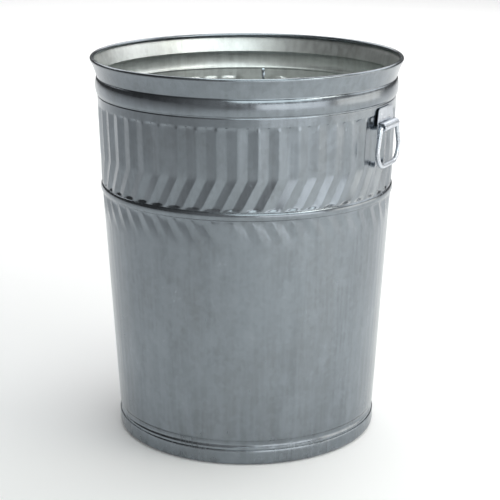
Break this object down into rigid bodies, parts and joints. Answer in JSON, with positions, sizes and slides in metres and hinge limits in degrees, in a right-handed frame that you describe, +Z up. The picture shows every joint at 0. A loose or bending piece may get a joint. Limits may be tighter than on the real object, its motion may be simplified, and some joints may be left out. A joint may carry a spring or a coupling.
{
  "type": "trash can",
  "caption": "Tapered galvanized sheet-steel trash can, open top, chevron-fluted wall, rolled rim, raised bottom in a rolled foot hoop, and a drop bail handle hinged on either side.",
  "frame": {"origin": "centre of the bounding box at the floor, on the can's axis", "axes": "+Z up along the can's axis, +X through the middle of the right handle, Y across the handles"},
  "size_m": [0.564, 0.555, 0.686],
  "materials": {
    "wall_sheet": "hot-dip galvanized sheet, satin with rolled streaks",
    "rim_core": "drawn steel wire",
    "foot_sheet": "hot-dip galvanized sheet, scuffed",
    "floor_sheet": "hot-dip galvanized sheet",
    "bracket_plate": "galvanized plate, satin",
    "bail_wire": "galvanized wire, smooth"
  },
  "bodies": {
    "can": {"body_shell": "wall_sheet", "rim_wire": "rim_core", "bottom_hoop": "foot_sheet", "bottom_pan": "floor_sheet", "handle_bracket_right": "bracket_plate", "handle_bracket_left": "bracket_plate"},
    "bail_right": {"handle_bail_right": "bail_wire"},
    "bail_left": {"handle_bail_left": "bail_wire"}
  },
  "joints": [
    {"name": "bail_right_hinge", "type": "hinge", "parent": "can", "child": "bail_right", "pos_m": [0.27424, 0, 0.5825], "axis": [0, -1, 0], "range_deg": [-5, 178]},
    {"name": "bail_left_hinge", "type": "hinge", "parent": "can", "child": "bail_left", "pos_m": [-0.27424, 0, 0.5825], "axis": [0, 1, 0], "range_deg": [-5, 178]}
  ]
}
